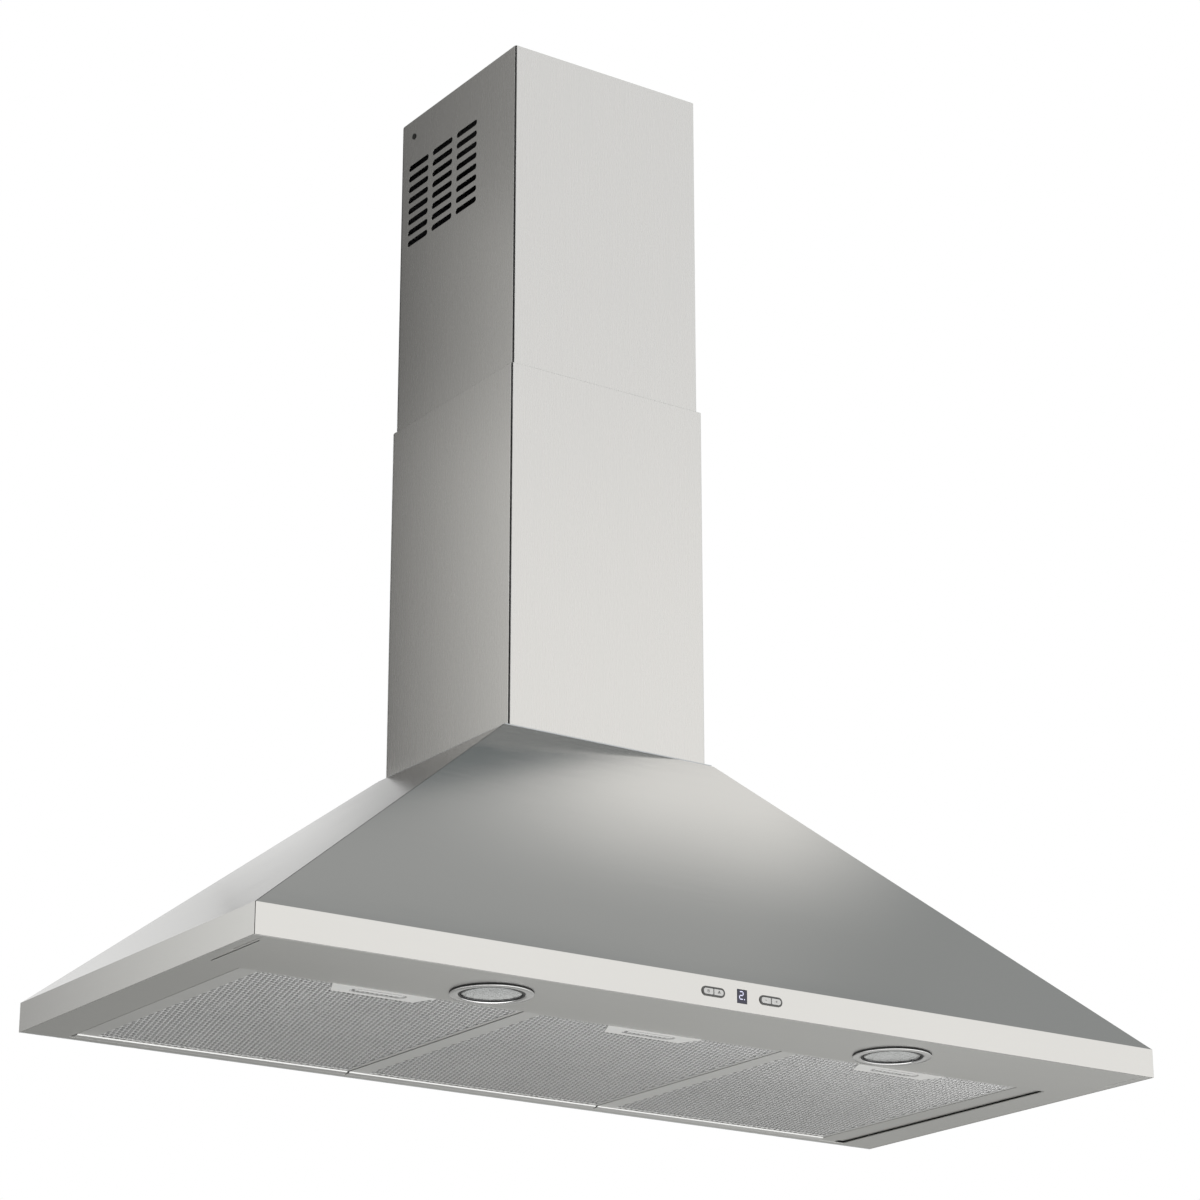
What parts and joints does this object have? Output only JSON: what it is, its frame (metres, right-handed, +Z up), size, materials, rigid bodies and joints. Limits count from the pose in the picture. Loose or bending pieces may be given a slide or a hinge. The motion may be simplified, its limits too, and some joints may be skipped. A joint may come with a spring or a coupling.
{
  "type": "chimney range hood",
  "caption": "Wall-mounted pyramid chimney range hood in brushed steel with swing-down grease filters, sliding latches, lamps, push buttons, an inner blower and a telescopic chimney cover.",
  "frame": {"origin": "on the rear face of the canopy back plate, midway between the two wall hooks in X and 200 mm above the bottom of the rim; the rear face lies on the wall", "axes": "+X to the right as seen from in front, +Y into the wall, +Z up"},
  "size_m": [0.9, 0.401, 0.9396],
  "materials": {
    "brushed_steel": "fine vertical or lengthwise brushed grain, satin",
    "galvanised_steel": "zinc-coated sheet, dull spangle",
    "aluminium": "rolled, satin",
    "filter_mesh": "fine expanded mesh",
    "motor_steel": "dark coated motor can",
    "dark_plastic": "moulded, fine grain",
    "grey_plastic": "moulded, smooth",
    "button_plastic": "silver-grey lacquered",
    "bright_trim": "polished",
    "display_glass": "dark navy window",
    "circuit_board": "green board",
    "reflector": "faceted bright dish",
    "lamp_glass": "clear glass"
  },
  "bodies": {
    "hood": {"canopy_front_sheet": "brushed_steel", "canopy_left_sheet": "brushed_steel", "canopy_right_sheet": "brushed_steel", "underside_panel": "brushed_steel", "filter_filler_strip": "brushed_steel", "chimney_lower_cover": "brushed_steel", "canopy_back_plate": "galvanised_steel", "canopy_top_plate": "galvanised_steel", "chimney_wall_bracket": "galvanised_steel", "wall_hook_left": "galvanised_steel", "wall_hook_right": "galvanised_steel", "blower_scroll": "galvanised_steel", "blower_side_left": "galvanised_steel", "blower_side_right": "galvanised_steel", "motor_bracket": "galvanised_steel", "damper_axle": "galvanised_steel", "lamp_can_left": "galvanised_steel", "lamp_can_right": "galvanised_steel", "blower_motor": "motor_steel", "outlet_collar": "dark_plastic", "terminal_box": "dark_plastic", "cable_gland": "dark_plastic", "air_deflector": "dark_plastic", "cable_gland_nut": "dark_plastic", "control_carrier": "dark_plastic", "control_board": "circuit_board", "control_bezel_left": "bright_trim", "control_bezel_right": "bright_trim", "display_window": "display_glass", "lamp_ring_left": "bright_trim", "lamp_lens_left": "lamp_glass", "lamp_reflector_left": "reflector", "lamp_bulb_left": "lamp_glass", "lamp_ring_right": "bright_trim", "lamp_lens_right": "lamp_glass", "lamp_reflector_right": "reflector", "lamp_bulb_right": "lamp_glass"},
    "upper_cover": {"chimney_upper_cover": "brushed_steel"},
    "impeller": {"blower_impeller": "aluminium"},
    "filter_left": {"filter_frame_left": "aluminium", "filter_mesh_left": "filter_mesh"},
    "latch_left": {"filter_latch_left": "bright_trim"},
    "filter_centre": {"filter_frame_centre": "aluminium", "filter_mesh_centre": "filter_mesh"},
    "latch_centre": {"filter_latch_centre": "bright_trim"},
    "filter_right": {"filter_frame_right": "aluminium", "filter_mesh_right": "filter_mesh"},
    "latch_right": {"filter_latch_right": "bright_trim"},
    "button_light": {"button_light": "button_plastic"},
    "button_fan": {"button_fan": "button_plastic"},
    "button_minus": {"button_minus": "button_plastic"},
    "button_plus": {"button_plus": "button_plastic"},
    "flap_front": {"damper_flap_front": "grey_plastic"},
    "flap_rear": {"damper_flap_rear": "grey_plastic"}
  },
  "joints": [
    {"name": "upper_cover_telescope", "type": "slide", "parent": "hood", "child": "upper_cover", "axis": [0, 0, -1], "range_m": [0, 0.25]},
    {"name": "impeller_spin", "type": "hinge", "parent": "hood", "child": "impeller", "pos_m": [0, -0.146, -0.064], "axis": [1, 0, 0], "continuous": true},
    {"name": "filter_left_swing", "type": "hinge", "parent": "hood", "child": "filter_left", "pos_m": [-0.2765, -0.01, -0.1985], "axis": [1, 0, 0], "range_deg": [0, 80]},
    {"name": "latch_left_slide", "type": "slide", "parent": "filter_left", "child": "latch_left", "axis": [0, 1, 0], "range_m": [0, 0.0055], "stiffness_N_per_m": 600},
    {"name": "filter_centre_swing", "type": "hinge", "parent": "hood", "child": "filter_centre", "pos_m": [-0.0145, -0.01, -0.1985], "axis": [1, 0, 0], "range_deg": [0, 80]},
    {"name": "latch_centre_slide", "type": "slide", "parent": "filter_centre", "child": "latch_centre", "axis": [0, 1, 0], "range_m": [0, 0.0055], "stiffness_N_per_m": 600},
    {"name": "filter_right_swing", "type": "hinge", "parent": "hood", "child": "filter_right", "pos_m": [0.2475, -0.01, -0.1985], "axis": [1, 0, 0], "range_deg": [0, 80]},
    {"name": "latch_right_slide", "type": "slide", "parent": "filter_right", "child": "latch_right", "axis": [0, 1, 0], "range_m": [0, 0.0055], "stiffness_N_per_m": 600},
    {"name": "button_light_press", "type": "slide", "parent": "hood", "child": "button_light", "axis": [0, 1, 0], "range_m": [0, 0.001], "stiffness_N_per_m": 900},
    {"name": "button_fan_press", "type": "slide", "parent": "hood", "child": "button_fan", "axis": [0, 1, 0], "range_m": [0, 0.001], "stiffness_N_per_m": 900},
    {"name": "button_minus_press", "type": "slide", "parent": "hood", "child": "button_minus", "axis": [0, 1, 0], "range_m": [0, 0.001], "stiffness_N_per_m": 900},
    {"name": "button_plus_press", "type": "slide", "parent": "hood", "child": "button_plus", "axis": [0, 1, 0], "range_m": [0, 0.001], "stiffness_N_per_m": 900},
    {"name": "flap_front_lift", "type": "hinge", "parent": "hood", "child": "flap_front", "pos_m": [0, -0.105, 0.09], "axis": [-1, 0, 0], "range_deg": [0, 75]},
    {"name": "flap_rear_lift", "type": "hinge", "parent": "hood", "child": "flap_rear", "pos_m": [0, -0.105, 0.09], "axis": [1, 0, 0], "range_deg": [0, 75]}
  ]
}
